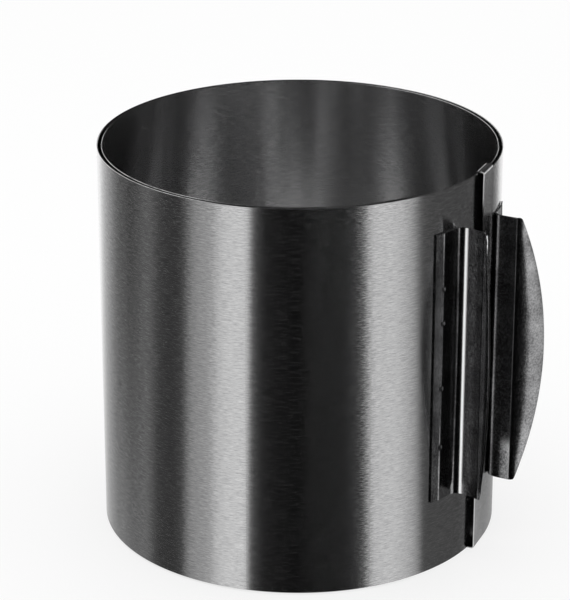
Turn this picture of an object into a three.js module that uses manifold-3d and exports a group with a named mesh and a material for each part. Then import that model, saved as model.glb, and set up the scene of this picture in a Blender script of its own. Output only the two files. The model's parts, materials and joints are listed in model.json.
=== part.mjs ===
// An adjustable cake ring: one long strip of stainless sheet rolled round on itself for almost two turns.
// The outer end of the strip is folded into a hook that grips the turn below, and a folded sheet handle
// stands on each side of it. The strip slides through the hook, so the ring opens and closes.
// Millimetres, Z up, X through the middle of the two handles.
import * as THREE from "three";
import { mergeVertices } from "three/addons/utils/BufferGeometryUtils.js";
import Module from "manifold-3d";

const wasm = await Module();
wasm.setup();

// The ring
const RING_DIAMETER = 152; // outside, at its smallest
const LARGEST_DIAMETER = 280; // outside, fully open
const STRIP_HEIGHT = 150;
const STRIP_THICKNESS = 0.4;
const LAYER_GAP = 1.2; // air between one turn and the next
const END_OVERLAP = 22; // strip left beyond the mouth of the hook when fully open

// The strip flexes all along. It is made of stiff links that meet on upright hinge lines, long where the
// strip never enters the hook, and shorter towards the inner end, which slides through it when least curved.
const CUT = 0.3; // air between one link and the next
const SEAT_MARGIN = 2.7; // strip beyond a handle's flange on the link that carries it
const OUTER_LINKS = 9; // between the hook and the sliding handle
const INNER_LINKS = 13; // from the sliding handle to the inner end
const INNER_TAPER = 0.77; // how much longer the first inner link is than the last
const FACET = THREE.MathUtils.degToRad(3);
const SAME_POINT = 1e-4; // corners closer than this are one corner

// The hook on the outer end
const MOUTH_LENGTH = 9.8; // the flat stretch that carries the two folded lips
const CHANNEL = 2.6; // clear width behind the flat for the sliding strip
const LIP_CLEARANCE = 0.3; // air above and below the sliding strip
const LIP_DEPTH = 7; // how far the lips hang down behind the sliding strip
const LIP_RADIUS = 1.1; // outside radius of the folds
const FOLD_STEPS = 5;
const JOIN_OVERLAP = 0.3; // how far the bent stretch runs into the hook, so that the two become one piece

// The handles
const HANDLE_LENGTH = 105.5;
const OUTER_RISE = 77.9; // from the strip's lower edge to the middle of the outer handle
const SLIDING_RISE = 80.9;
const HANDLE_SPACING = 23.2; // along the ring, from one fin's foot to the other's
const OUTER_FOOT_AT = 2.2; // from the end of the hook's flat to the outer fin's foot
const SHEET = 0.6;
const SEAT_CLEARANCE = 0.3; // weld line between the flange and the strip
const FLANGE_WIDTH = 14.6;
const CREASE_AT = 4.1; // from the flange's free edge to its row of spot welds
const FLANGE_BEND = 3.1; // radius of the bend at the foot of the fin, to the middle of the sheet
const OUTER_FIN = 9.2; // from the ring to the second bend
const SLIDING_FIN = 10.6;
const OUTER_LEAN = THREE.MathUtils.degToRad(6); // of the fin towards the other handle
const SLIDING_LEAN = THREE.MathUtils.degToRad(-4);
const OUTER_FLARE = THREE.MathUtils.degToRad(46); // of the leaf back away from the other handle
const SLIDING_FLARE = THREE.MathUtils.degToRad(39);
const LEAF_BEND = 2;
const LEAF_WIDTH = 12.4; // from the second bend to the middle of its bowed edge
const LEAF_END_WIDTH = 1.8;
const LEAF_CORNER = 0.8;
const BEND_STEPS = 8;
const BOW_STEPS = 24;
const CORNER_STEPS = 4;

// Sizes that follow
const pitch = STRIP_THICKNESS + LAYER_GAP;
const outerRadius = (RING_DIAMETER - STRIP_THICKNESS) / 2;
const endLink = MOUTH_LENGTH + OUTER_FOOT_AT + FLANGE_WIDTH + SEAT_MARGIN;
const stripLength = Math.PI * (LARGEST_DIAMETER - STRIP_THICKNESS) + END_OVERLAP;
const firstTurn = 2 * Math.PI * (outerRadius - pitch / 2);
const slidingFootAt = MOUTH_LENGTH + OUTER_FOOT_AT + firstTurn - HANDLE_SPACING;
const seatLink = FLANGE_WIDTH + 2 * SEAT_MARGIN;
const footOnSeat = FLANGE_WIDTH + SEAT_MARGIN;
const seatStart = slidingFootAt - footOnSeat;
const lipTop = STRIP_HEIGHT + LIP_CLEARANCE + STRIP_THICKNESS;

const brushedSteel = new THREE.MeshStandardMaterial({ color: 0x9a9a9a, roughness: 0.35, metalness: 1 });
const handleSteel = new THREE.MeshStandardMaterial({ color: 0x5a5a5a, roughness: 0.45, metalness: 1 });

// Link lengths from the hook to the inner end
function linkLengths() {
  const outer = new Array(OUTER_LINKS).fill((seatStart - endLink) / OUTER_LINKS);
  const weights = [];
  for (let i = 0; i < INNER_LINKS; i += 1) {
    weights.push(1 + INNER_TAPER * (1 - i / (INNER_LINKS - 1)) ** 2);
  }
  const whole = weights.reduce((sum, weight) => sum + weight, 0);
  const innerLength = stripLength - seatStart - seatLink;
  const inner = weights.map((weight) => (innerLength * weight) / whole);
  return [endLink, ...outer, seatLink, ...inner];
}

// Each link bends to the spiral's radius at its own middle, so every turn lies one pitch inside the last.
function linkRadii(lengths) {
  let turned = 0;
  return lengths.map((length, index) => {
    const arc = index === 0 ? length - MOUTH_LENGTH : length;
    const radius = outerRadius - (pitch * (turned + arc / outerRadius / 2)) / (2 * Math.PI);
    turned += arc / radius;
    return radius;
  });
}

function toSolid(geometry) {
  const bare = geometry.clone();
  bare.deleteAttribute("normal");
  bare.deleteAttribute("uv");
  const merged = mergeVertices(bare, SAME_POINT);
  const mesh = new wasm.Mesh({
    numProp: 3,
    vertProperties: new Float32Array(merged.attributes.position.array),
    triVerts: new Uint32Array(merged.index.array),
  });
  return new wasm.Manifold(mesh);
}

function toGeometry(solid) {
  const mesh = solid.getMesh();
  const geometry = new THREE.BufferGeometry();
  geometry.setAttribute("position", new THREE.BufferAttribute(mesh.vertProperties, 3));
  geometry.setIndex(new THREE.BufferAttribute(mesh.triVerts, 1));
  const flat = geometry.toNonIndexed();
  flat.computeVertexNormals();
  return flat;
}

function extrude(points, depth) {
  return new THREE.ExtrudeGeometry(new THREE.Shape(points), { depth, bevelEnabled: false });
}

// Plan of a bent stretch of strip that starts at the origin heading along X and turns towards +Y
function bentPlan(radius, from, to) {
  const steps = Math.max(2, Math.ceil((to - from) / radius / FACET));
  const outside = [];
  const inside = [];
  for (let i = 0; i <= steps; i += 1) {
    const angle = (from + ((to - from) * i) / steps) / radius;
    const far = radius + STRIP_THICKNESS / 2;
    const near = radius - STRIP_THICKNESS / 2;
    outside.push(new THREE.Vector2(far * Math.sin(angle), radius - far * Math.cos(angle)));
    inside.push(new THREE.Vector2(near * Math.sin(angle), radius - near * Math.cos(angle)));
  }
  return [...outside, ...inside.reverse()];
}

function plainLink(radius, from, to) {
  return extrude(bentPlan(radius, from, to), STRIP_HEIGHT);
}

// Section across the hook: the strip's flat wall with a lip folded over at the top and one at the bottom
function hookSection() {
  const wall = STRIP_THICKNESS / 2;
  const back = wall + CHANNEL + STRIP_THICKNESS;
  const inner = LIP_RADIUS - STRIP_THICKNESS;
  const foldY = lipTop - LIP_RADIUS;
  const fold = (centre, radius, from, to) => {
    const points = [];
    for (let i = 0; i <= FOLD_STEPS; i += 1) {
      const angle = from + ((to - from) * i) / FOLD_STEPS;
      points.push(new THREE.Vector2(centre + radius * Math.cos(angle), foldY + radius * Math.sin(angle)));
    }
    return points;
  };
  const quarter = Math.PI / 2;
  const outline = [
    ...fold(LIP_RADIUS - wall, LIP_RADIUS, 2 * quarter, quarter),
    ...fold(back - LIP_RADIUS, LIP_RADIUS, quarter, 0),
    new THREE.Vector2(back, lipTop - LIP_DEPTH),
    new THREE.Vector2(back - STRIP_THICKNESS, lipTop - LIP_DEPTH),
    ...fold(back - LIP_RADIUS, inner, 0, quarter),
    ...fold(LIP_RADIUS - wall, inner, quarter, 2 * quarter),
  ];
  const mirrored = outline.map((p) => new THREE.Vector2(p.x, STRIP_HEIGHT - p.y)).reverse();
  return [...outline, ...mirrored];
}

// The outer end: the flat hook, then the bent stretch that the outer handle is welded to
function hookLink(radius, to) {
  const alongX = new THREE.Matrix4().makeBasis(
    new THREE.Vector3(0, 1, 0),
    new THREE.Vector3(0, 0, 1),
    new THREE.Vector3(1, 0, 0),
  );
  const hook = extrude(hookSection(), MOUTH_LENGTH).applyMatrix4(alongX);
  const bent = plainLink(radius, -JOIN_OVERLAP, to - MOUTH_LENGTH).translate(MOUTH_LENGTH, 0, 0);
  return toGeometry(toSolid(hook).add(toSolid(bent)));
}

// Outline of a folded sheet: its middle line runs through the points, rounded at each inner point
function foldedOutline(points, radii) {
  const line = [];
  const push = (point, heading) => line.push({ point, heading });
  const headings = points.slice(1).map((p, i) => p.clone().sub(points[i]).normalize());
  push(points[0], headings[0]);
  for (let i = 1; i < points.length - 1; i += 1) {
    const before = headings[i - 1];
    const after = headings[i];
    const turn = Math.atan2(before.cross(after), before.dot(after));
    const radius = radii[i - 1];
    if (radius === 0) {
      push(points[i], before.clone().add(after).normalize());
    } else {
      const setback = radius * Math.tan(Math.abs(turn) / 2);
      const side = new THREE.Vector2(-before.y, before.x).multiplyScalar(Math.sign(turn));
      const centre = points[i].clone().addScaledVector(before, -setback).addScaledVector(side, radius);
      for (let k = 0; k <= BEND_STEPS; k += 1) {
        const heading = before.clone().rotateAround(new THREE.Vector2(), (turn * k) / BEND_STEPS);
        const out = new THREE.Vector2(heading.y, -heading.x).multiplyScalar(Math.sign(turn) * radius);
        push(centre.clone().add(out), heading);
      }
    }
  }
  push(points[points.length - 1], headings[headings.length - 1]);
  const offset = (way) =>
    line.map(({ point, heading }) => {
      const normal = new THREE.Vector2(-heading.y, heading.x);
      return point.clone().addScaledVector(normal, (way * SHEET) / 2);
    });
  return [...offset(1), ...offset(-1).reverse()];
}

// One handle, with its foot at the origin, Y outwards from the ring and its flange along side × X
function handleGeometry({ side, finDepth, lean, flare }, seatRadius) {
  const onSeat = (distance) => {
    const angle = distance / seatRadius;
    return new THREE.Vector2(seatRadius * Math.sin(angle), seatRadius * (Math.cos(angle) - 1));
  };
  const foot = onSeat(0);
  const finWay = new THREE.Vector2(-Math.sin(lean), Math.cos(lean));
  const fin = foot.clone().addScaledVector(finWay, finDepth);
  const leafWay = new THREE.Vector2(Math.sin(flare - lean), Math.cos(flare - lean));
  const tip = fin.clone().addScaledVector(leafWay, LEAF_WIDTH);
  const middle = [onSeat(FLANGE_WIDTH), onSeat(FLANGE_WIDTH - CREASE_AT), foot, fin, tip];
  const mirror = (p) => new THREE.Vector2(side * p.x, p.y);
  const sheet = extrude(foldedOutline(middle.map(mirror), [0, FLANGE_BEND, LEAF_BEND]), HANDLE_LENGTH);

  // The leaf's free edge is bowed: everything beyond the bow is trimmed off square to the leaf.
  const bow = new THREE.Shape();
  const reach = FLANGE_WIDTH + finDepth + LEAF_WIDTH;
  const sagitta = LEAF_WIDTH - LEAF_END_WIDTH;
  const bowRadius = (sagitta ** 2 + (HANDLE_LENGTH / 2) ** 2) / (2 * sagitta);
  const edge = (z) => LEAF_WIDTH - bowRadius + Math.sqrt(bowRadius ** 2 - (z - HANDLE_LENGTH / 2) ** 2);
  bow.moveTo(-reach, 0);
  bow.lineTo(LEAF_END_WIDTH - LEAF_CORNER, 0);
  bow.quadraticCurveTo(LEAF_END_WIDTH, 0, edge(LEAF_CORNER), LEAF_CORNER);
  for (let i = 1; i < BOW_STEPS; i += 1) {
    const z = LEAF_CORNER + ((HANDLE_LENGTH - 2 * LEAF_CORNER) * i) / BOW_STEPS;
    bow.lineTo(edge(z), z);
  }
  bow.lineTo(edge(LEAF_CORNER), HANDLE_LENGTH - LEAF_CORNER);
  bow.quadraticCurveTo(LEAF_END_WIDTH, HANDLE_LENGTH, LEAF_END_WIDTH - LEAF_CORNER, HANDLE_LENGTH);
  bow.lineTo(-reach, HANDLE_LENGTH);
  const settings = { depth: 2 * reach, bevelEnabled: false, curveSegments: CORNER_STEPS };
  const keep = new THREE.ExtrudeGeometry(bow, settings);
  const way = mirror(leafWay);
  const across = new THREE.Vector3(way.x, way.y, 0);
  const up = new THREE.Vector3(0, 0, 1);
  const normal = across.clone().cross(up);
  const frame = new THREE.Matrix4().makeBasis(across, up, normal);
  const root = mirror(fin);
  frame.setPosition(root.x - normal.x * reach, root.y - normal.y * reach, 0);
  keep.applyMatrix4(frame);
  return toGeometry(toSolid(sheet).intersect(toSolid(keep)));
}

// A handle on a link whose bend starts at startX, with its foot some way along the bend
function handle(settings, radius, startX, along) {
  const flangeHollow = (FLANGE_WIDTH - CREASE_AT) ** 2 / (8 * radius);
  const seatRadius = radius + (STRIP_THICKNESS + SHEET) / 2 + SEAT_CLEARANCE + flangeHollow;
  const mesh = new THREE.Mesh(handleGeometry(settings, seatRadius), handleSteel);
  const angle = along / radius;
  mesh.name = settings.name;
  mesh.position.set(
    startX + seatRadius * Math.sin(angle),
    radius - seatRadius * Math.cos(angle),
    settings.rise - HANDLE_LENGTH / 2,
  );
  mesh.rotation.z = angle + Math.PI;
  return mesh;
}

const outerHandle = {
  name: "handle_outer_end",
  side: -1,
  finDepth: OUTER_FIN,
  lean: OUTER_LEAN,
  flare: OUTER_FLARE,
  rise: OUTER_RISE,
};
const slidingHandle = {
  name: "handle_sliding",
  side: 1,
  finDepth: SLIDING_FIN,
  lean: SLIDING_LEAN,
  flare: SLIDING_FLARE,
  rise: SLIDING_RISE,
};

// The strip: each link hangs from the hinge line at the end of the link before it
function buildStrip() {
  const lengths = linkLengths();
  const radii = linkRadii(lengths);
  const seatIndex = OUTER_LINKS + 1;
  const strip = new THREE.Group();
  strip.name = "strip";
  let parent = strip;
  lengths.forEach((length, index) => {
    const radius = radii[index];
    const first = index === 0;
    const last = index === lengths.length - 1;
    const link = new THREE.Group();
    link.name = "hinge_" + String(index).padStart(2, "0");
    if (!first) {
      const before = radii[index - 1];
      const startX = index === 1 ? MOUTH_LENGTH : 0;
      const turned = (lengths[index - 1] - startX) / before;
      link.position.set(startX + before * Math.sin(turned), before * (1 - Math.cos(turned)), 0);
      link.rotation.z = turned;
    }
    const end = last ? length : length - CUT / 2;
    const geometry = first ? hookLink(radius, end) : plainLink(radius, CUT / 2, end);
    const mesh = new THREE.Mesh(geometry, brushedSteel);
    mesh.name = "strip_link_" + String(index).padStart(2, "0");
    link.add(mesh);
    if (first) link.add(handle(outerHandle, radius, MOUTH_LENGTH, OUTER_FOOT_AT));
    if (index === seatIndex) link.add(handle(slidingHandle, radius, 0, footOnSeat));
    parent.add(link);
    parent = link;
  });
  return strip;
}

// Turn the ring so that X runs midway between the handles, then stand it on the middle of its own footprint.
const cakeRing = new THREE.Group();
cakeRing.name = "adjustable_cake_ring";
const turned = new THREE.Group();
const strip = buildStrip();
strip.position.set(-MOUTH_LENGTH, -outerRadius, 0);
turned.add(strip);
turned.rotation.z = Math.PI / 2 + (HANDLE_SPACING / 2 - OUTER_FOOT_AT) / outerRadius;
cakeRing.add(turned);
cakeRing.updateMatrixWorld(true);
const box = new THREE.Box3().setFromObject(cakeRing, true);
const middle = box.getCenter(new THREE.Vector3());
turned.position.set(-middle.x, -middle.y, -box.min.z);

export default cakeRing;
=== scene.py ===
"""Adjustable cake ring: one brushed strip rolled round on itself, its hooked end and two folded handles."""
import json
import math
from collections import namedtuple

import bpy
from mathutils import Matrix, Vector


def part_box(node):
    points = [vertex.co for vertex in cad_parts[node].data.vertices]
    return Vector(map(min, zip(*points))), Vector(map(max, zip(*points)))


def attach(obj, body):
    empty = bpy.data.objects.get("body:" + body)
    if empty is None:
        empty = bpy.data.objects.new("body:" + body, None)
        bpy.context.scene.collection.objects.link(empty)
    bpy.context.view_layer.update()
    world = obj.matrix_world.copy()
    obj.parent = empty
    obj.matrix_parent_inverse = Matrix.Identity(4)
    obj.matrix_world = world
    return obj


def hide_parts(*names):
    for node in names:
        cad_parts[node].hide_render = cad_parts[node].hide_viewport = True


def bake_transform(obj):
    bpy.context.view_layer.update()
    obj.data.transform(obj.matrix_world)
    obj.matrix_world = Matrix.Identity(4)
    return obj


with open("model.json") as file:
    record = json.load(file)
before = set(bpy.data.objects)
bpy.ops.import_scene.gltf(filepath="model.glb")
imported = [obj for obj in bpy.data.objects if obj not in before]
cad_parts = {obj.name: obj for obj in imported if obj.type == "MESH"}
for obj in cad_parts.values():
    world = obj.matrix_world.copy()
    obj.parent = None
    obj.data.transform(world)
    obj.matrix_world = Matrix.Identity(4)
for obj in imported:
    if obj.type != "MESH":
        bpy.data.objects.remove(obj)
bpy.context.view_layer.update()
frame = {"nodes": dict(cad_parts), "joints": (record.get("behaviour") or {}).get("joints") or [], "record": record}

MM = 0.001
SHARP = math.radians(30)  # an edge that turns further than this stays crisp

# The strip, as in the solids
STRIP_HEIGHT = 150 * MM
STRIP_THICKNESS = 0.4 * MM
EDGE_ROUND = 0.14 * MM  # the rolled edges are deburred
STATION = 0.6 * MM  # from one cross-section of the strip to the next
AXIS_LINKS = 8  # outer links whose centres give the ring's axis

# The hook on the strip's outer end
MOUTH_LENGTH = 9.8 * MM
CHANNEL = 2.6 * MM
LIP_CLEARANCE = 0.3 * MM
LIP_DEPTH = 7 * MM
LIP_RADIUS = 1.1 * MM
FOLD_STEPS = 8
HOOK_OVERLAP = 0.3 * MM

# Both handles
HANDLE_LENGTH = 105.5 * MM
OUTER_FOOT_AT = 2.2 * MM
SEAT_MARGIN = 2.7 * MM
SHEET = 0.6 * MM
SHEET_ROUND = 0.15 * MM
SEAT_CLEARANCE = 0.03 * MM
FLANGE_WIDTH = 14.6 * MM
CREASE_AT = 4.1 * MM
CREASE_LIFT = 0.2 * MM  # the row of welds pulls the flange into a shallow fold
RIDGE_RISE = 0.08 * MM  # a fine ridge stands along the fold
RIDGE_HALF = 0.5 * MM
WELD_RADIUS = 1.1 * MM
WELD_DEPTH = 0.36 * MM
WELDS_UP = [21.6 * MM, 45 * MM, 70.6 * MM, 83.9 * MM]  # from the handle's lower end
FIN_EASE = 5 * MM  # the bend at the fin's foot widens to this radius
FIN_EASE_TURN = math.radians(18)
LEAF_BEND = 2 * MM
LEAF_CURL = math.radians(24)  # the leaf goes on bending away from the other handle
CURL_FULL_WIDTH = 3.5 * MM  # the narrow ends of the leaf curl less
LEAF_WIDTH = 11.7 * MM
LEAF_END_WIDTH = 0.9 * MM
LEAF_CORNER = 0.8 * MM
LEAST_LEAF = 0.05 * MM  # what the rounding of the corners leaves at the very end

# How finely the handles are drawn
RIDGE_STEP = 0.15 * MM
FLANGE_STEP = 0.45 * MM
FIN_STEP = 1.2 * MM
ROW_STEP = 0.6 * MM
STAGE_STEPS = 10
LEAF_BEND_STEPS = 8
CURL_STEPS = 12
CORNER_STEPS = 6

# What differs between the handles
Shape = namedtuple("Shape", "rise bend sweep sweep_turn fin lean flare")
OUTER_SHAPE = Shape(
    rise=77.9 * MM,  # from the strip's lower edge to the middle of the handle
    bend=3.1 * MM,  # radius at the fin's foot, on the flange's side
    sweep=20 * MM,  # radius of the long sweep up the fin that the bend runs out in
    sweep_turn=math.radians(8),
    fin=9.2 * MM,  # from the ring to the second bend
    lean=math.radians(6),  # of the fin, away from its flange
    flare=math.radians(46),  # from the fin to the middle of the leaf
)
SLIDING_SHAPE = Shape(
    rise=80.9 * MM,
    bend=3.7 * MM,
    sweep=30 * MM,
    sweep_turn=math.radians(10),
    fin=10.6 * MM,
    lean=math.radians(-6),
    flare=math.radians(37),
)

# The camera, from the photograph
CAMERA_TURN = math.radians(61)  # from the camera's side of the ring round to the middle of the handles
CAMERA_RISE = math.radians(22.56)
CAMERA_DISTANCE = 1034.4 * MM
FOCAL_PIXELS = 2705.2
IMAGE_WIDTH = 570
IMAGE_HEIGHT = 600
RING_PIXEL = (298.6, 326.3)  # where the ring's middle lies in the image
SENSOR = 36  # millimetres


# Directions on the ground

def towards(angle):
    return Vector((math.cos(angle), math.sin(angle)))


def right_of(angle):
    return Vector((math.sin(angle), -math.cos(angle)))


def bearing(vector):
    return math.atan2(vector.y, vector.x)


def nearest_turn(angle, like):
    """The same direction as angle, within half a turn of another."""
    return angle + math.tau * round((like - angle) / math.tau)


# The strip's path, worked out from the hinge lines of the solids

def body_of_link(index):
    """Name of the body that carries a link of the strip, counted from the hook."""
    link = "strip_link_%02d" % index
    bodies = frame["record"]["behaviour"]["bodies"]
    return next(name for name, solids in bodies.items() if link in solids)


class Arc:
    """A stretch of the strip of one radius, from a hinge line to the next."""

    def __init__(self, start, heading, turn, radius):
        self.start = start
        self.heading = heading
        self.radius = radius
        self.length = turn * radius

    def centre(self):
        return self.start - right_of(self.heading) * self.radius

    def at(self, distance):
        """The point on the strip's middle line, and the heading there, at a distance along the arc."""
        heading = self.heading + distance / self.radius
        ahead = math.sin(heading) - math.sin(self.heading)
        aside = math.cos(self.heading) - math.cos(heading)
        return self.start + Vector((ahead, aside)) * self.radius, heading


def read_path():
    """Arcs of all links but the first, each from a hinge line on, running on smoothly from the last."""
    hinges = [Vector(joint["pos_m"][:2]) for joint in frame["joints"]]
    last_link = frame["nodes"]["strip_link_%02d" % len(hinges)]
    corners = [Vector(vertex.co[:2]) for vertex in last_link.data.vertices]
    far = max((corner - hinges[-1]).length for corner in corners)
    ends = [corner for corner in corners if (corner - hinges[-1]).length > far - 2 * STRIP_THICKNESS]
    tail = sum(ends, Vector((0, 0))) / len(ends)
    points = hinges + [tail]
    chords = [after - before for before, after in zip(points, points[1:])]
    first, second = bearing(chords[0]), bearing(chords[1])
    second = nearest_turn(second, first)
    heading = first - (second - first) / 2
    path = []
    for start, chord in zip(points, chords):
        half = nearest_turn(bearing(chord), heading) - heading
        path.append(Arc(start, heading, 2 * half, chord.length / 2 / math.sin(half)))
        heading += 2 * half
    return path


arcs = read_path()
link_count = len(arcs) + 1
base_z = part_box("strip_link_05")[0].z
ring_axis = sum((arc.centre() for arc in arcs[:AXIS_LINKS]), Vector((0, 0))) / AXIS_LINKS


# Meshes

def sweep(name, loops, along, around):
    """A closed solid through loops of points. In the pattern, along places each loop, around each point."""
    vertices = [point for loop in loops for point in loop]
    size = len(loops[0])
    faces = []
    places = []
    for i in range(len(loops) - 1):
        for j in range(size):
            k = (j + 1) % size
            faces.append((i * size + j, i * size + k, (i + 1) * size + k, (i + 1) * size + j))
            places.append(((i, j), (i, j + 1), (i + 1, j + 1), (i + 1, j)))
    last = (len(loops) - 1) * size
    faces.append(tuple(range(size - 1, -1, -1)))
    places.append(tuple((0, j) for j in range(size - 1, -1, -1)))
    faces.append(tuple(last + j for j in range(size)))
    places.append(tuple((len(loops) - 1, j) for j in range(size)))
    mesh = bpy.data.meshes.new(name)
    mesh.from_pydata(vertices, [], faces)
    layer = mesh.uv_layers.new(name="run")
    for polygon, corners in zip(mesh.polygons, places):
        polygon.use_smooth = True
        for loop_index, (i, j) in zip(polygon.loop_indices, corners):
            layer.data[loop_index].uv = (along[i], around[j])
    mesh.set_sharp_from_angle(angle=SHARP)
    made = bpy.data.objects.new(name, mesh)
    bpy.context.scene.collection.objects.link(made)
    return made


def round_the_loop(points):
    """Distance round a closed loop of flat points, one more value than points."""
    distance = [0.0]
    for before, after in zip(points, points[1:] + points[:1]):
        distance.append(distance[-1] + (after - before).length)
    return distance


def strip_section():
    """The strip's cross-section: outwards, up. It runs so that the swept faces look outwards."""
    half, edge = STRIP_THICKNESS / 2, EDGE_ROUND
    top = STRIP_HEIGHT
    return [
        Vector((half, edge)), Vector((half, top - edge)),
        Vector((half - edge, top)), Vector((-half + edge, top)),
        Vector((-half, top - edge)), Vector((-half, edge)),
        Vector((-half + edge, 0)), Vector((half - edge, 0)),
    ]


def place(section, point, heading):
    """A cross-section stood on the strip's middle line."""
    outwards = right_of(heading)
    return [Vector((*(point + outwards * p.x), base_z + p.y)) for p in section]


def stations(start, end):
    count = max(2, math.ceil((end - start) / STATION))
    return [start + (end - start) * i / count for i in range(count + 1)]


def strip_piece(index, before, arc, finish, run):
    """The stretch from the middle of one link to the middle of the next, across their hinge line."""
    section = strip_section()
    loops = []
    along = []
    back = before.length / 2 if before else 0
    forward = arc.length if index == link_count - 1 else arc.length / 2
    if before:
        for distance in stations(before.length - back, before.length)[:-1]:
            loops.append(place(section, *before.at(distance)))
            along.append(run - before.length + distance)
    for distance in stations(0, forward):
        loops.append(place(section, *arc.at(distance)))
        along.append(run + distance)
    piece = sweep("strip_bend_%02d" % index, loops, along, round_the_loop(section))
    piece.data.materials.append(finish)
    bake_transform(piece)
    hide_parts("strip_link_%02d" % index)


def make_strip(finish):
    run = 0
    before = None
    for index, arc in enumerate(arcs, start=1):
        strip_piece(index, before, arc, finish, run)
        run += arc.length
        before = arc


# The hooked end

def hook_section():
    """Section across the hook: the flat wall with a lip folded over at the top and one at the bottom."""
    half = STRIP_THICKNESS / 2
    back = half + CHANNEL + STRIP_THICKNESS
    lip_top = STRIP_HEIGHT + LIP_CLEARANCE + STRIP_THICKNESS
    inner = LIP_RADIUS - STRIP_THICKNESS
    height = lip_top - LIP_RADIUS
    quarter = math.pi / 2

    def fold(centre, radius, start, end):
        angles = [start + (end - start) * i / FOLD_STEPS for i in range(FOLD_STEPS + 1)]
        return [Vector((centre - radius * math.cos(a), height + radius * math.sin(a))) for a in angles]

    upper = [
        *fold(half - LIP_RADIUS, LIP_RADIUS, 2 * quarter, quarter),
        *fold(LIP_RADIUS - back, LIP_RADIUS, quarter, 0),
        Vector((-back, lip_top - LIP_DEPTH)),
        Vector((STRIP_THICKNESS - back, lip_top - LIP_DEPTH)),
        *fold(LIP_RADIUS - back, inner, 0, quarter),
        *fold(half - LIP_RADIUS, inner, quarter, 2 * quarter),
    ]
    lower = [Vector((p.x, STRIP_HEIGHT - p.y)) for p in reversed(upper)]
    return upper + lower


def make_hook(finish):
    """The hook's flat stretch and the bent stretch behind it, made one. Returns the bent stretch's arc."""
    first = arcs[0]
    radius = first.radius
    turn = (OUTER_FOOT_AT + FLANGE_WIDTH + SEAT_MARGIN) / radius
    heading = first.heading - turn
    start = first.centre() + right_of(heading) * radius
    bend = Arc(start, heading, turn, radius)
    section = strip_section()
    bent_at = stations(0, bend.length)
    ahead = towards(heading)
    bent_loops = [place(section, start - ahead * HOOK_OVERLAP, heading)]
    bent_loops += [place(section, *bend.at(distance)) for distance in bent_at]
    bent_along = [-bend.length - HOOK_OVERLAP] + [distance - bend.length for distance in bent_at]
    bent = sweep("hook_bent_stretch", bent_loops, bent_along, round_the_loop(section))
    hook = hook_section()
    flat_at = [-MOUTH_LENGTH, 0]
    flat_loops = [place(hook, start + ahead * distance, heading) for distance in flat_at]
    flat_along = [distance - bend.length for distance in flat_at]
    piece = sweep("strip_hook_end", flat_loops, flat_along, round_the_loop(hook))
    join = piece.modifiers.new("join", "BOOLEAN")
    join.operation = "UNION"
    join.solver = "EXACT"
    join.object = bent
    view = bpy.context.evaluated_depsgraph_get()
    piece.data = bpy.data.meshes.new_from_object(piece.evaluated_get(view))
    piece.modifiers.clear()
    bpy.data.objects.remove(bent)
    piece.data.set_sharp_from_angle(angle=SHARP)
    piece.data.materials.clear()
    piece.data.materials.append(finish)
    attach(piece, body_of_link(0))
    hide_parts("strip_link_00")
    return bend


# The handles

def leaf_width(height):
    """Width of the leaf at a height above the handle's lower end: a bow with rounded corners."""
    half = HANDLE_LENGTH / 2
    sagitta = LEAF_WIDTH - LEAF_END_WIDTH
    radius = (sagitta ** 2 + half ** 2) / (2 * sagitta)
    width = LEAF_WIDTH - radius + math.sqrt(radius ** 2 - (height - half) ** 2)
    to_end = min(height, HANDLE_LENGTH - height)
    if to_end < LEAF_CORNER:
        short = 1 - to_end / LEAF_CORNER
        width -= LEAF_CORNER * (1 - math.sqrt(max(0.0, 1 - short ** 2)))
    return max(width, LEAST_LEAF)


def bend_stages(turn, shape):
    """The bend at the fin's foot, as turns of one radius after another."""
    tight = turn - FIN_EASE_TURN - shape.sweep_turn
    return [(tight, shape.bend), (FIN_EASE_TURN, FIN_EASE), (shape.sweep_turn, shape.sweep)]


def bend_setbacks(stages):
    """How far before the corner the bend at the fin's foot starts, and how far up the fin it ends."""
    angle = ahead = aside = 0.0
    for turn, radius in stages:
        ahead += radius * (math.sin(angle + turn) - math.sin(angle))
        aside += radius * (math.cos(angle) - math.cos(angle + turn))
        angle += turn
    after = aside / math.sin(angle)
    return ahead - after * math.cos(angle), after


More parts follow.
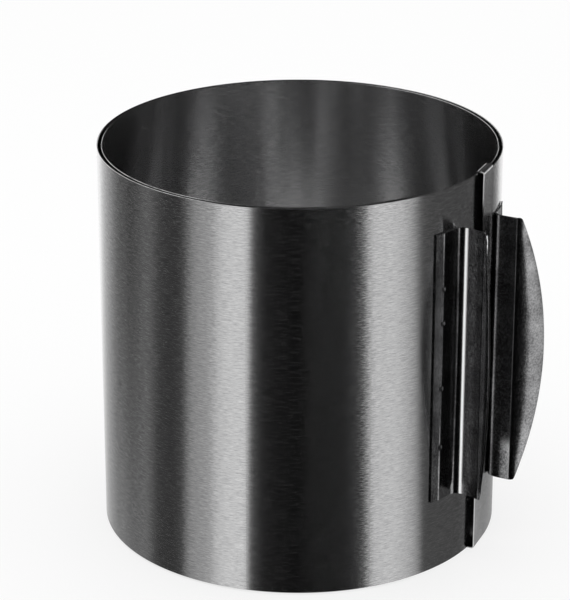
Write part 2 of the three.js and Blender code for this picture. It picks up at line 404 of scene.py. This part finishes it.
def handle_line(seat_radius, width, shape):
    """Middle line of the folded sheet from the flange's free edge to the leaf's: (point, direction)."""
    line = []

    def run(start, way, length, step):
        count = max(1, math.ceil(length / step))
        ahead = towards(way)
        for i in range(count):
            line.append((start + ahead * (length * i / count), way))
        return start + ahead * length

    def bend(start, way, turn, radius, steps):
        """Turns to the right."""
        centre = start + right_of(way) * radius
        for i in range(steps):
            angle = way - turn * i / steps
            line.append((centre - right_of(angle) * radius, angle))
        end = way - turn
        return centre - right_of(end) * radius, end

    half_turn = math.pi
    edge_angle = FLANGE_WIDTH / seat_radius
    crease_angle = (FLANGE_WIDTH - CREASE_AT) / seat_radius
    edge = Vector((math.sin(edge_angle), math.cos(edge_angle) - 1)) * seat_radius
    lifted = seat_radius + CREASE_LIFT
    crease = Vector((math.sin(crease_angle) * lifted, math.cos(crease_angle) * lifted - seat_radius))
    foot = Vector((0, 0))
    to_crease = (crease - edge).normalized()
    to_foot = (foot - crease).normalized()
    ridge_start = crease - to_crease * RIDGE_HALF
    ridge_top = crease + Vector((math.sin(crease_angle), math.cos(crease_angle))) * RIDGE_RISE
    ridge_end = crease + to_foot * RIDGE_HALF
    corners = [edge, ridge_start, ridge_top, ridge_end]
    for start, end, step in zip(corners, corners[1:], (FLANGE_STEP, RIDGE_STEP, RIDGE_STEP)):
        run(start, nearest_turn(bearing(end - start), half_turn), (end - start).length, step)
    way = nearest_turn(bearing(to_foot), half_turn)
    stages = bend_stages(way - math.pi / 2 - shape.lean, shape)
    before, after = bend_setbacks(stages)
    point = run(ridge_end, way, (foot - ridge_end).length - before, FLANGE_STEP)
    for turn, radius in stages:
        point, way = bend(point, way, turn, radius, STAGE_STEPS)
    leaf_turn = shape.flare - LEAF_CURL / 2
    point = run(point, way, shape.fin - after - LEAF_BEND * math.tan(leaf_turn / 2), FIN_STEP)
    point, way = bend(point, way, leaf_turn, LEAF_BEND, LEAF_BEND_STEPS)
    curl = LEAF_CURL * min(1, width / CURL_FULL_WIDTH)
    point, way = bend(point, way, curl, width / curl, CURL_STEPS)
    line.append((point, way))
    start, way = line[0]
    line.insert(1, (start + towards(way) * SHEET_ROUND, way))
    end, way = line[-1]
    inset = min(SHEET_ROUND, (end - line[-2][0]).length / 2)
    line.insert(-1, (end - towards(way) * inset, way))
    return line


def handle_rows():
    """Heights of the cross-sections: close together at the rounded ends."""
    rows = [0.0, SHEET_ROUND]
    rows += [LEAF_CORNER * i / CORNER_STEPS for i in range(1, CORNER_STEPS)]
    straight = HANDLE_LENGTH - 2 * LEAF_CORNER
    count = math.ceil(straight / ROW_STEP)
    rows += [LEAF_CORNER + straight * i / count for i in range(count + 1)]
    rows += [HANDLE_LENGTH - row for row in reversed(rows[:CORNER_STEPS + 1])]
    return sorted(set(rows))


def weld_dent(from_crease, height):
    """How far the sheet is pressed in beside a spot weld."""
    for weld in WELDS_UP:
        off = math.hypot(from_crease, height - weld) / WELD_RADIUS
        if off < 1:
            return WELD_DEPTH * (1 - off ** 2) ** 2
    return 0.0


def sheet_outline(line, height):
    """Outline of the sheet round its middle line, with rounded edges and the dents of the welds."""
    at_end = height <= 0 or height >= HANDLE_LENGTH
    half = SHEET / 2 - (SHEET_ROUND if at_end else 0)
    first, way = line[0]
    crease = first + towards(way) * CREASE_AT
    seen, hidden = [], []
    for index, (point, way) in enumerate(line):
        normal = right_of(way)
        edge = index in (0, len(line) - 1)
        thick = half - (SHEET_ROUND if edge and not at_end else 0)
        dent = weld_dent((point - crease).length, height)
        seen.append(point + normal * (thick - dent))
        hidden.append(point - normal * thick)
    return seen + hidden[::-1]


def handle(name, solid, body, side, shape, seat_radius, foot, heading, finish):
    """side is 1 where the flange runs back along the strip from the fin, -1 where it runs on along it."""
    back = -towards(heading)
    outwards = right_of(heading)
    loops = []
    rows = handle_rows()
    lower_end = base_z + shape.rise - HANDLE_LENGTH / 2
    for height in rows:
        outline = sheet_outline(handle_line(seat_radius, leaf_width(height), shape), height)
        spots = [foot + back * (side * p.x) + outwards * p.y for p in outline]
        loop = [Vector((*spot, lower_end + height)) for spot in spots]
        loops.append(loop if side < 0 else loop[::-1])
    # painted highlight: the colour is painted lighter round the point of the bend that mirrors the soft box; the
    # seen face carries the distance from that point, the hidden face a distance beyond its reach
    line = handle_line(seat_radius, LEAF_WIDTH, shape)
    bright_way = math.pi / 2 + shape.lean + shape.sweep_turn + FIN_EASE_TURN / 2
    brightest = min(line, key=lambda step: abs(step[1] - bright_way))[0]
    from_highlight = [(point - brightest).length for point, way in line]
    beyond_highlight = [LEAF_WIDTH] * len(line)
    around = from_highlight + beyond_highlight if side < 0 else beyond_highlight + from_highlight[::-1]
    piece = sweep(name, loops, rows, around + around[:1])
    piece.data.materials.append(finish)
    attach(piece, body)
    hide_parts(solid)


def make_handles(bend, finish):
    def seated(arc, along, name, solid, body, side, shape):
        """The flange touches the strip between crease and fin, where the strip stands furthest out."""
        point, heading = arc.at(along)
        sagitta = (FLANGE_WIDTH - CREASE_AT) ** 2 / (8 * arc.radius)
        hollow = sagitta * (1 - CREASE_LIFT / (4 * sagitta)) ** 2
        stand_off = (STRIP_THICKNESS + SHEET) / 2 + SEAT_CLEARANCE + hollow
        foot = point + right_of(heading) * stand_off
        handle(name, solid, body, side, shape, arc.radius + stand_off, foot, heading, finish)

    seated(bend, OUTER_FOOT_AT, "folded_handle_outer", "handle_outer_end", "hook_end", -1, OUTER_SHAPE)
    seat_index = next(i for i in range(link_count) if body_of_link(i) == "handle_seat")
    seated(arcs[seat_index - 1], FLANGE_WIDTH + SEAT_MARGIN, "folded_handle_sliding", "handle_sliding",
           "handle_seat", 1, SLIDING_SHAPE)


# Nodes of materials and world

def linear(hex_colour):
    """An sRGB hex colour as linear red, green, blue and alpha."""
    def channel(value):
        value /= 255
        return value / 12.92 if value <= 0.04045 else ((value + 0.055) / 1.055) ** 2.4
    return tuple(channel(int(hex_colour[i:i + 2], 16)) for i in (1, 3, 5)) + (1.0,)


def grey(brightness):
    return (brightness, brightness, brightness, 1.0)


def node(tree, kind, links=None, **settings):
    """Adds a node. Settings name its properties or its inputs, by name or number (in0). Links feed inputs."""
    made = tree.nodes.new(kind)
    for key, value in settings.items():
        if hasattr(made, key):
            setattr(made, key, value)
        else:
            socket = int(key[2:]) if key[:2] == "in" and key[2:].isdigit() else key.replace("_", " ")
            made.inputs[socket].default_value = value
    for socket, source in (links or {}).items():
        tree.links.new(source, made.inputs[socket])
    return made


def maths(tree, operation, first, second, **settings):
    links = {0: first} if second is None else {0: first, 1: second}
    return node(tree, "ShaderNodeMath", links, operation=operation, **settings).outputs[0]


def remap(tree, value, seen, wanted=(0.0, 1.0), **settings):
    """Spreads values between the two seen evenly over the two wanted, and holds beyond them."""
    return node(tree, "ShaderNodeMapRange", {"Value": value}, From_Min=seen[0], From_Max=seen[1],
                To_Min=wanted[0], To_Max=wanted[1], **settings).outputs[0]


def new_material(name):
    material = bpy.data.materials.new(name)
    material.use_nodes = True
    material.node_tree.nodes.clear()
    return material, material.node_tree


# Materials

STREAK_SPACING = 0.3 * MM  # real brush lines are finer; drawn as coarse as one image pixel needs
STREAK_LENGTH = 2 * MM
BAND_SPACING = 0.36 * MM
BAND_LENGTH = 5 * MM
STREAK_DETAIL = 2.0
STREAK_BREAKUP = 0.6
STREAK_TONES = ("#AAAAAB", "#D6D6D6")
STREAK_ROUGHNESS = (0.12, 0.17)
STREAK_LEAN = 0.013  # sideways lean of the mirror direction from line to line
STREAK_METALLIC = (1.0, 0.98)  # the deepest lines scatter a trace of light all ways
STREAK_SMEAR = 1.0
STREAK_TURN = 0.25  # of a full turn, which lays the smear across the lines
TONE_NOISE = (0.65, 1.35)  # of both line patterns together, from the darkest tone to the lightest
ROUGHNESS_NOISE = (0.25, 0.75)
LEAN_NOISE = (0.2, 0.8)
SCATTER_NOISE = (0.46, 0.68)


def brushed_stainless():
    """Cold-rolled stainless strip, belt-brushed along its length: reflections smear up and down across the
    fine lines and stay crisp along them, so a surround shows as upright bands with streaky edges."""
    material, tree = new_material("brushed_stainless_strip")
    run = node(tree, "ShaderNodeUVMap", uv_map="run").outputs["UV"]

    def streaks(length, spacing):
        stretched = node(tree, "ShaderNodeMapping", {"Vector": run}, Scale=(1 / length, 1 / spacing, 1))
        return node(tree, "ShaderNodeTexNoise", {"Vector": stretched.outputs[0]}, noise_dimensions="2D",
                    Scale=1.0, Detail=STREAK_DETAIL, Roughness=STREAK_BREAKUP).outputs[0]

    def vectors(operation, links):
        return node(tree, "ShaderNodeVectorMath", links, operation=operation).outputs[0]

    fine = streaks(STREAK_LENGTH, STREAK_SPACING)
    broad = streaks(BAND_LENGTH, BAND_SPACING)
    tone = remap(tree, maths(tree, "ADD", fine, broad), TONE_NOISE)
    dark, light = map(linear, STREAK_TONES)
    colour = node(tree, "ShaderNodeMix", {"Factor": tone}, data_type="RGBA", in6=dark, in7=light).outputs[2]
    rough = remap(tree, fine, ROUGHNESS_NOISE, STREAK_ROUGHNESS)
    scatter = remap(tree, broad, SCATTER_NOISE, STREAK_METALLIC)
    along = node(tree, "ShaderNodeTangent", direction_type="UV_MAP", uv_map="run").outputs[0]
    lean = remap(tree, fine, LEAN_NOISE, (-STREAK_LEAN, STREAK_LEAN))
    sideways = vectors("SCALE", {0: along, "Scale": lean})
    surface = node(tree, "ShaderNodeNewGeometry").outputs["Normal"]
    normal = vectors("NORMALIZE", {0: vectors("ADD", {0: surface, 1: sideways})})
    steel = node(tree, "ShaderNodeBsdfPrincipled",
                 {"Base Color": colour, "Roughness": rough, "Metallic": scatter, "Normal": normal,
                  "Tangent": along}, Anisotropic=STREAK_SMEAR, Anisotropic_Rotation=STREAK_TURN)
    node(tree, "ShaderNodeOutputMaterial", {"Surface": steel.outputs[0]})
    return material


GRAIN = 0.75 * MM
GRAIN_DETAIL = 2.0
CLOUD = 9 * MM  # slow unevenness of the tumbled surface
CLOUD_DETAIL = 3.0
GRAIN_TONES = ("#707071", "#BABABB")
GRAIN_ROUGHNESS = (0.13, 0.21)
GRAIN_STRENGTH = 0.5
GRAIN_DEPTH = 0.03 * MM
GRAIN_TONE_NOISE = (0.7, 1.3)  # of grain and cloud together
GRAIN_ROUGHNESS_NOISE = (0.3, 0.7)
# painted highlight: a lighter colour within this distance of the point on the fin's bend that mirrors the soft box
PAINTED_HIGHLIGHT_WIDTH = 1.4 * MM
PAINTED_HIGHLIGHT_TONE = "#FAFAFA"


def pressed_stainless():
    """Stainless sheet, pressed and tumbled: semi-gloss with a fine even grain that sparkles in the light. Along
    the bend at the fin's foot, where the soft box mirrors, the colour is painted lighter: a painted highlight
    that shows as a bright upright line."""
    material, tree = new_material("pressed_stainless_sheet")
    spot = node(tree, "ShaderNodeTexCoord").outputs["Object"]

    def noise(size, detail):
        return node(tree, "ShaderNodeTexNoise", {"Vector": spot}, Scale=1 / size, Detail=detail).outputs[0]

    grain = noise(GRAIN, GRAIN_DETAIL)
    cloud = noise(CLOUD, CLOUD_DETAIL)
    tone = remap(tree, maths(tree, "ADD", grain, cloud), GRAIN_TONE_NOISE)
    dark, light = map(linear, GRAIN_TONES)
    colour = node(tree, "ShaderNodeMix", {"Factor": tone}, data_type="RGBA", in6=dark, in7=light).outputs[2]
    across = node(tree, "ShaderNodeUVMap", uv_map="run").outputs["UV"]
    from_highlight = node(tree, "ShaderNodeSeparateXYZ", {0: across}).outputs[1]
    # painted highlight: the colour turns lighter towards the point of the bend that mirrors the soft box
    painted_highlight = remap(tree, from_highlight, (PAINTED_HIGHLIGHT_WIDTH, 0.0), interpolation_type="SMOOTHSTEP")
    highlighted_colour = node(tree, "ShaderNodeMix", {"Factor": painted_highlight, 6: colour}, data_type="RGBA",
                    in7=linear(PAINTED_HIGHLIGHT_TONE)).outputs[2]
    rough = remap(tree, grain, GRAIN_ROUGHNESS_NOISE, GRAIN_ROUGHNESS)
    bump = node(tree, "ShaderNodeBump", {"Height": grain}, Strength=GRAIN_STRENGTH, Distance=GRAIN_DEPTH)
    steel = node(tree, "ShaderNodeBsdfPrincipled",
                 {"Base Color": highlighted_colour, "Roughness": rough, "Normal": bump.outputs[0]}, Metallic=1.0)
    node(tree, "ShaderNodeOutputMaterial", {"Surface": steel.outputs[0]})
    return material


# The studio

# Surround as the metal sees it, going round from the camera to the right: (degrees, brightness)
SURROUND = [
    (-180, 1.1), (-167, 1.1), (-152, 0.6), (-130, 0.12), (-114, 0.05), (-97, 0.2), (-87, 0.05), (-75, 0.05),
    (-67.8, 0.1), (-64.2, 0.44), (-50, 0.56), (-47, 0.88), (-39, 1.0), (-28.6, 1.0), (-27.4, 0.05),
    (-20, 0.015), (0, 0.002), (18, 0.001), (30, 0.006), (37.6, 0.03), (40.4, 0.4), (43, 0.83), (57, 0.92),
    (69, 0.66), (73.2, 0.4), (75.2, 0.11), (90, 0.1), (124, 0.08), (146, 0.09), (156, 0.35), (165, 0.95),
    (180, 1.1),
]
CARD_SPREAD = 0.8  # the cards and soft boxes stand wider apart towards the floor
MIRRORED_HEIGHT = -0.39  # sine of the height that the middle of the ring mirrors to the camera
SOFT_LIGHT = 0.85  # brightness all round for matt surfaces

# What stands in front of the surround. Each limit says where it starts and where it is full, as the sine of
# the height or in degrees round from the camera to the right.
Board = namedtuple("Board", "bright heights angles")
LOW_RIGHT_BOARD = Board(0.4, heights=[(-0.39, -0.436)], angles=[(118, 126)])
LOW_LEFT_BOARD = Board(0.5, heights=[(-0.36, -0.54)], angles=[(-97, -127)])
DARK_CEILING = Board(0.05, heights=[(0.08, 0.25)], angles=[])
TALL_BACK_BOX = Board(0.9, heights=[(0.03, 0.1)], angles=[(-168, -158), (-70, -80)])
SMALL_FRONT_BOX = Board(2.6, heights=[(0.05, 0.35), (0.6, 0.5)], angles=[(0, 10), (75, 65)])
BOARDS = [LOW_RIGHT_BOARD, LOW_LEFT_BOARD, DARK_CEILING, TALL_BACK_BOX, SMALL_FRONT_BOX]

FLOOR_REACH = 4.0  # metres, as for the lamp
FLOOR_COLOUR = "#F4F4F4"
FLOOR_GLOW = 0.75  # share of plain white in the floor that the camera sees
LAMP_SIZE = 1.2
LAMP_POWER = 6  # watts
LAMP_HEIGHT = 1.4


def make_world():
    """White behind for the camera, an even soft light for matt surfaces, and for metal a studio of upright
    dark cards and soft boxes in front, white behind, and the boards."""
    world = bpy.data.worlds.new("studio")
    bpy.context.scene.world = world
    world.use_nodes = True
    tree = world.node_tree
    tree.nodes.clear()
    way = node(tree, "ShaderNodeTexCoord").outputs["Generated"]
    turned = node(tree, "ShaderNodeVectorRotate", {"Vector": way}, rotation_type="Z_AXIS", Angle=CAMERA_TURN)
    front, right, height = node(tree, "ShaderNodeSeparateXYZ", {0: turned.outputs[0]}).outputs
    angle = maths(tree, "ARCTAN2", right, front)
    above = maths(tree, "SUBTRACT", height, None, in1=MIRRORED_HEIGHT)
    wider = maths(tree, "MULTIPLY_ADD", above, None, in1=-CARD_SPREAD, in2=1.0)
    share = remap(tree, maths(tree, "DIVIDE", angle, wider), (-math.pi, math.pi))
    ramp = node(tree, "ShaderNodeValToRGB", {0: share})
    stops = ramp.color_ramp.elements
    while len(stops) < len(SURROUND):
        stops.new(0.5)
    for stop, (degrees, bright) in zip(stops, SURROUND):
        stop.position = degrees / 360 + 0.5
        stop.color = grey(bright)
    seen = ramp.outputs[0]
    for board in BOARDS:
        edges = [remap(tree, height, limits) for limits in board.heights]
        edges += [remap(tree, angle, tuple(map(math.radians, limits))) for limits in board.angles]
        cover = edges[0]
        for edge in edges[1:]:
            cover = maths(tree, "MULTIPLY", cover, edge)
        seen = node(tree, "ShaderNodeMix", {"Factor": cover, 6: seen}, data_type="RGBA",
                    in7=grey(board.bright)).outputs[2]
    studio = node(tree, "ShaderNodeBackground", {"Color": seen}).outputs[0]
    soft = node(tree, "ShaderNodeBackground", Color=grey(1.0), Strength=SOFT_LIGHT).outputs[0]
    white = node(tree, "ShaderNodeBackground", Color=grey(1.0)).outputs[0]
    rays = node(tree, "ShaderNodeLightPath").outputs
    lit = node(tree, "ShaderNodeMixShader", {0: rays["Is Glossy Ray"], 1: soft, 2: studio}).outputs[0]
    shown = node(tree, "ShaderNodeMixShader", {0: rays["Is Camera Ray"], 1: lit, 2: white}).outputs[0]
    node(tree, "ShaderNodeOutputWorld", {0: shown})


def make_floor():
    """A plain pale floor that stays white to the camera apart from the ring's soft shadow."""
    reach = FLOOR_REACH
    corners = [(-reach, -reach, 0), (reach, -reach, 0), (reach, reach, 0), (-reach, reach, 0)]
    mesh = bpy.data.meshes.new("floor")
    mesh.from_pydata(corners, [], [(0, 1, 2, 3)])
    floor = bpy.data.objects.new("floor", mesh)
    bpy.context.scene.collection.objects.link(floor)
    material, tree = new_material("pale_floor")
    matt = node(tree, "ShaderNodeBsdfDiffuse", Color=linear(FLOOR_COLOUR)).outputs[0]
    glow = node(tree, "ShaderNodeEmission", Color=grey(1.0)).outputs[0]
    camera_ray = node(tree, "ShaderNodeLightPath").outputs["Is Camera Ray"]
    share = maths(tree, "MULTIPLY", camera_ray, None, in1=FLOOR_GLOW)
    both = node(tree, "ShaderNodeMixShader", {0: share, 1: matt, 2: glow})
    node(tree, "ShaderNodeOutputMaterial", {"Surface": both.outputs[0]})
    mesh.materials.append(material)
    floor.visible_glossy = False


def make_lamp():
    """One large soft box overhead."""
    lamp = bpy.data.lights.new("overhead_soft_box", "AREA")
    lamp.shape = "SQUARE"
    lamp.size = LAMP_SIZE
    lamp.energy = LAMP_POWER
    holder = bpy.data.objects.new("overhead_soft_box", lamp)
    holder.location = (ring_axis.x, ring_axis.y, LAMP_HEIGHT)
    holder.visible_glossy = False
    bpy.context.scene.collection.objects.link(holder)


def make_camera():
    middle = Vector((*ring_axis, base_z + STRIP_HEIGHT / 2))
    side = Vector((*towards(-CAMERA_TURN), 0))
    back = side * math.cos(CAMERA_RISE) + Vector((0, 0, math.sin(CAMERA_RISE)))
    right = Vector((0, 0, 1)).cross(back).normalized()
    up = back.cross(right)
    per_pixel = CAMERA_DISTANCE / FOCAL_PIXELS
    target = middle - right * ((RING_PIXEL[0] - IMAGE_WIDTH / 2) * per_pixel)
    target += up * ((RING_PIXEL[1] - IMAGE_HEIGHT / 2) * per_pixel)
    camera = bpy.data.objects.new("camera", bpy.data.cameras.new("camera"))
    bpy.context.scene.collection.objects.link(camera)
    camera.location = middle + back * CAMERA_DISTANCE
    camera.rotation_mode = "QUATERNION"
    camera.rotation_quaternion = (target - camera.location).to_track_quat("-Z", "Y")
    camera.data.sensor_width = SENSOR
    camera.data.lens = FOCAL_PIXELS * SENSOR / max(IMAGE_WIDTH, IMAGE_HEIGHT)
    bpy.context.scene.camera = camera


strip_steel = brushed_stainless()
handle_steel = pressed_stainless()
make_strip(strip_steel)
hook_bend = make_hook(strip_steel)
make_handles(hook_bend, handle_steel)
make_world()
make_floor()
make_lamp()
make_camera()
bpy.context.scene.view_settings.view_transform = "Standard"
